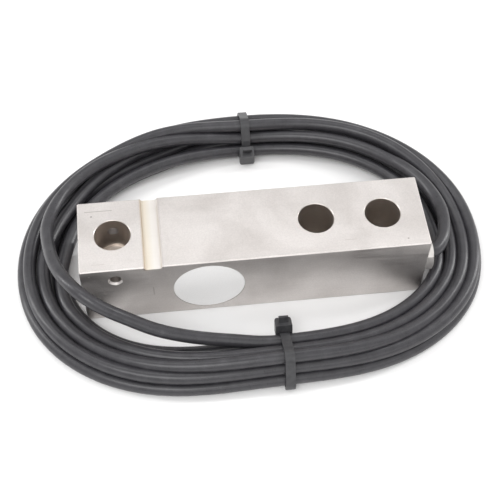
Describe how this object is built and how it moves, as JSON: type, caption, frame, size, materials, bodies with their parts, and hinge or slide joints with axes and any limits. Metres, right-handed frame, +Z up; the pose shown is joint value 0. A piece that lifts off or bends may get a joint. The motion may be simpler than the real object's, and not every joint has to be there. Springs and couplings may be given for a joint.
{
  "type": "shear beam load cell",
  "caption": "Single-ended shear beam load cell: a pale machined bar with load and mounting holes, a sealed gauge pocket each side, and a coiled black cable held by two ties.",
  "frame": {"origin": "centre of the bar's bottom face, cable left out", "axes": "+X along the bar to its cable end, +Z up from the bottom face, load end at -X"},
  "size_m": [0.1859, 0.1348, 0.0318],
  "materials": {
    "machined_alloy": "milled and lightly blasted",
    "cover_alloy": "matte, fine brushed",
    "gauge_foil": "etched foil on film",
    "solder_copper": "tinned copper",
    "board_laminate": "solder mask",
    "chip_ceramic": "moulded",
    "potting_silicone": "cast",
    "gland_metal": "nickel plated, turned",
    "seal_rubber": "moulded",
    "cable_jacket": "extruded, satin",
    "tie_nylon": "moulded",
    "sleeve_shrink": "shrunk",
    "core_red": "extruded",
    "core_black": "extruded",
    "core_green": "extruded",
    "core_white": "extruded",
    "tinned_copper": "tinned strands"
  },
  "bodies": {
    "root": {"beam_body": "machined_alloy", "front_cover_disc": "cover_alloy", "rear_cover_disc": "cover_alloy", "front_shear_gauge": "gauge_foil", "rear_shear_gauge": "gauge_foil", "front_solder_tabs": "solder_copper", "rear_solder_tabs": "solder_copper", "bridge_board": "board_laminate", "trim_resistors": "chip_ceramic", "bridge_wires": "solder_copper", "gauge_leads": "solder_copper", "front_potting": "potting_silicone", "rear_potting": "potting_silicone", "core_red": "core_red", "core_black": "core_black", "core_green": "core_green", "core_white": "core_white", "gland_body": "gland_metal", "gland_o_ring": "seal_rubber", "gland_grommet": "seal_rubber", "gland_washer": "gland_metal", "gland_screw": "gland_metal", "cable_entry": "cable_jacket", "cable_lead": "cable_jacket", "cable_raised_turn": "cable_jacket", "cable_coil": "cable_jacket", "cable_tail": "cable_jacket", "rear_cable_tie": "tie_nylon", "front_cable_tie": "tie_nylon", "tail_sleeve": "sleeve_shrink", "tail_core_red": "core_red", "tail_core_black": "core_black", "tail_core_green": "core_green", "tail_core_white": "core_white", "tail_drain": "tinned_copper", "tail_tinned_ends": "tinned_copper"}
  },
  "joints": []
}
